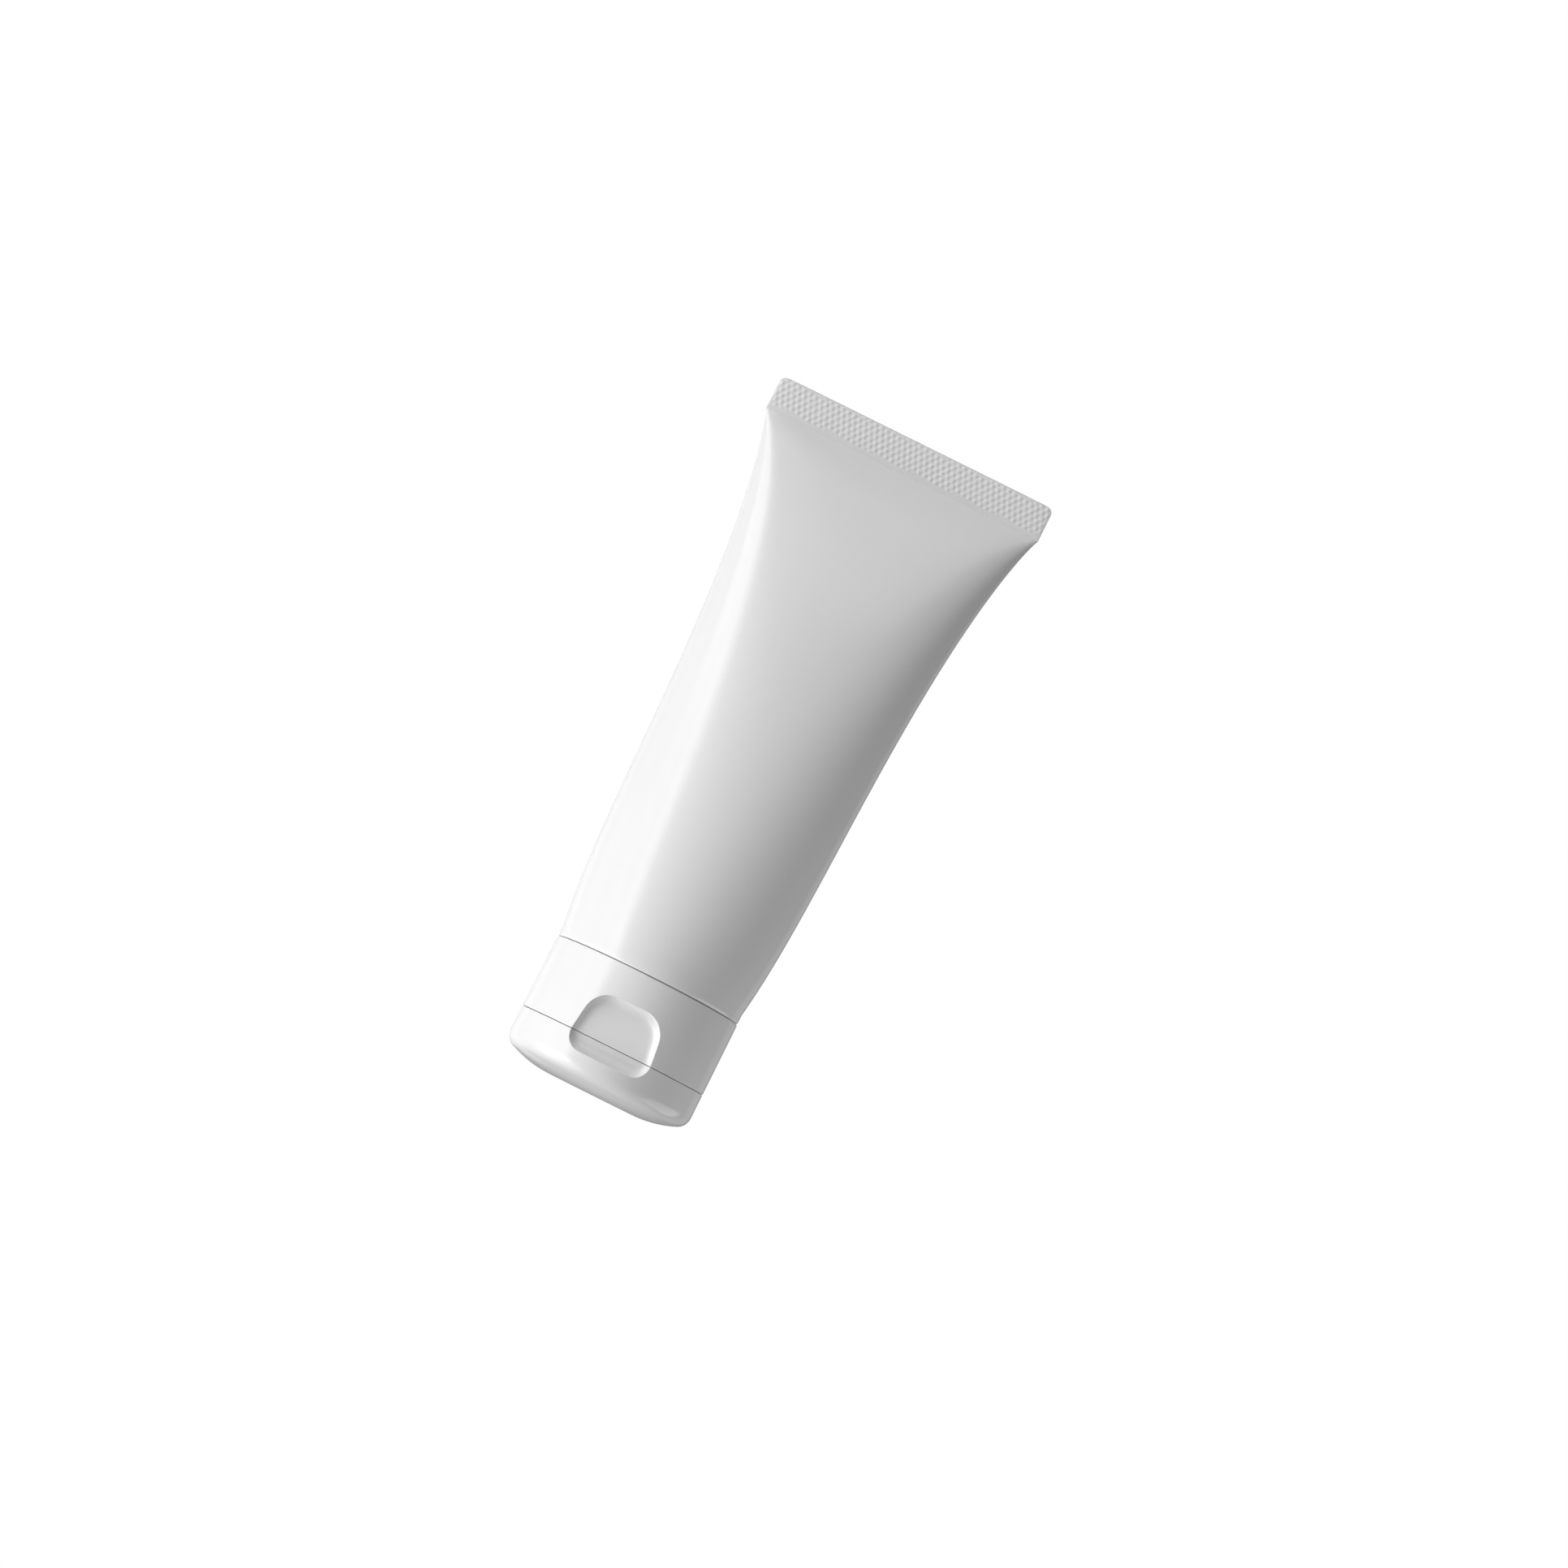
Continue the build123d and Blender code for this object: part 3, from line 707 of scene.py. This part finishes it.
class TUBE_OT_stage(bpy.types.Operator):
    """Lays the floor, lights the tube and sets the camera"""

    bl_idname = "tube.stage"
    bl_label = "Stage"

    def execute(self, context):
        scene, stage = context.scene, context.scene.tube_stage
        floor_mesh = bpy.data.meshes.new("floor")
        corners = [(x * floor_reach, y * floor_reach, 0.0) for x, y in ((-1, -1), (1, -1), (1, 1), (-1, 1))]
        floor_mesh.from_pydata(corners, [], [(0, 1, 2, 3)])
        floor = placed("floor", floor_mesh, self.floor_material(scene.tube_looks), smooth=False)
        floor.visible_diffuse = floor.visible_glossy = floor.visible_shadow = False
        for name, place in lamps.items():
            self.softbox(name, getattr(stage, name), *place)
        self.room(scene, stage.room)
        scene.view_settings.view_transform = "Standard"
        scene.camera = self.camera(stage)
        return {"FINISHED"}

    def floor_material(self, looks):
        """A pale floor that fades to white far out and that the view from below passes through."""
        material = bpy.data.materials.new("Pale floor")
        material.use_nodes = True
        tree = material.node_tree
        shader = tree.nodes["Principled BSDF"]
        feed(tree, shader.inputs["Base Color"], (*looks.floor, 1.0))
        feed(tree, shader.inputs["Roughness"], floor_roughness)
        feed(tree, shader.inputs["Emission Color"], (1.0, 1.0, 1.0, 1.0))
        feed(tree, shader.inputs["Emission Strength"], looks.floor_glow)
        reach = add(tree, "ShaderNodeVectorMath", operation="LENGTH")
        feed(tree, reach.inputs[0], add(tree, "ShaderNodeTexCoord").outputs["Object"])
        fade = add(tree, "ShaderNodeMapRange", interpolation_type="SMOOTHSTEP")
        feed(tree, fade.inputs["Value"], reach.outputs["Value"])
        feed(tree, fade.inputs["From Min"], floor_plain)
        feed(tree, fade.inputs["From Max"], floor_reach)
        sweep = add(tree, "ShaderNodeMixShader")
        feed(tree, sweep.inputs["Fac"], fade.outputs[0])
        feed(tree, sweep.inputs[1], shader.outputs[0])
        feed(tree, sweep.inputs[2], add(tree, "ShaderNodeEmission").outputs[0])
        seen = add(tree, "ShaderNodeMixShader")
        feed(tree, seen.inputs["Fac"], add(tree, "ShaderNodeNewGeometry").outputs["Backfacing"])
        feed(tree, seen.inputs[1], sweep.outputs[0])
        feed(tree, seen.inputs[2], add(tree, "ShaderNodeBsdfTransparent").outputs[0])
        feed(tree, tree.nodes["Material Output"].inputs["Surface"], seen.outputs[0])
        return material

    def softbox(self, name, brightness, turn, climb, aim, distance, width, height):
        """A soft rectangular light that faces the tube and that the camera doesn't see."""
        light = bpy.data.lights.new(name, "AREA")
        light.shape = "RECTANGLE"
        light.size, light.size_y = width, height
        light.energy = math.pi * width * height * brightness
        turn, climb = math.radians(turn), math.radians(climb)
        way = Vector((math.sin(turn) * math.cos(climb), math.cos(turn) * math.cos(climb), -math.sin(climb)))
        place = Vector((0.0, 0.0, aim)) - way * distance
        lamp = bpy.data.objects.new(name, light)
        lamp.matrix_world = Matrix.Translation(place) @ way.to_track_quat("-Z", "Y").to_matrix().to_4x4()
        lamp.visible_camera = False
        bpy.context.scene.collection.objects.link(lamp)

    def room(self, scene, grey):
        """A dim grey room that the camera sees as white."""
        world = bpy.data.worlds.new("White room")
        world.use_nodes = True
        tree = world.node_tree
        room = tree.nodes["Background"]
        feed(tree, room.inputs["Color"], (1.0, 1.0, 1.0, 1.0))
        feed(tree, room.inputs["Strength"], grey)
        white = add(tree, "ShaderNodeBackground")
        feed(tree, white.inputs["Color"], (1.0, 1.0, 1.0, 1.0))
        mix = add(tree, "ShaderNodeMixShader")
        feed(tree, mix.inputs["Fac"], add(tree, "ShaderNodeLightPath").outputs["Is Camera Ray"])
        feed(tree, mix.inputs[1], room.outputs[0])
        feed(tree, mix.inputs[2], white.outputs[0])
        feed(tree, tree.nodes["World Output"].inputs["Surface"], mix.outputs[0])
        scene.world = world

    def camera(self, stage):
        """The camera at the photograph's viewing angle."""
        data = bpy.data.cameras.new("Camera")
        data.lens = stage.lens
        data.clip_start, data.clip_end = clip_near, clip_far
        eye = bpy.data.objects.new("Camera", data)
        turn = Matrix.Rotation(-stage.pan, 3, "Z") @ Matrix.Rotation(math.pi / 2 + stage.tilt, 3, "X")
        turn = turn @ Matrix.Rotation(stage.roll, 3, "Z")
        place = Vector((math.sin(stage.azimuth), -math.cos(stage.azimuth), 0)) * stage.distance
        place.z = -stage.drop
        eye.matrix_world = Matrix.Translation(place) @ turn.to_4x4()
        bpy.context.scene.collection.objects.link(eye)
        return eye


class TUBE_PT_pieces(bpy.types.Panel):
    """Lists the tube's pieces and their sizes"""

    bl_idname = "TUBE_PT_pieces"
    bl_label = "Squeeze tube"
    bl_space_type = "VIEW_3D"
    bl_region_type = "UI"
    bl_category = "Tube"

    def draw(self, context):
        layout = self.layout
        for pointer, group in groups:
            box = layout.box()
            for name in group.__annotations__:
                box.prop(getattr(context.scene, pointer), name)
        for operator in operators:
            layout.operator(operator.bl_idname)


groups = (
    ("tube_sleeve", TubeSleeveSizes),
    ("tube_hinge", TubeHingeSizes),
    ("tube_looks", TubeLooks),
    ("tube_stage", TubeStage),
)
operators = (TUBE_OT_sleeve, TUBE_OT_crimp, TUBE_OT_cap, TUBE_OT_hinge, TUBE_OT_stage)


def register():
    for name, group in groups:
        bpy.utils.register_class(group)
        setattr(bpy.types.Scene, name, bpy.props.PointerProperty(type=group))
    for operator in operators:
        bpy.utils.register_class(operator)
    bpy.utils.register_class(TUBE_PT_pieces)


def unregister():
    bpy.utils.unregister_class(TUBE_PT_pieces)
    for operator in reversed(operators):
        bpy.utils.unregister_class(operator)
    for name, group in reversed(groups):
        delattr(bpy.types.Scene, name)
        bpy.utils.unregister_class(group)


def main():
    register()
    bpy.ops.tube.sleeve()
    bpy.ops.tube.crimp()
    bpy.ops.tube.cap()
    bpy.ops.tube.hinge()
    bpy.ops.tube.stage()


if __name__ == "__main__":
    main()
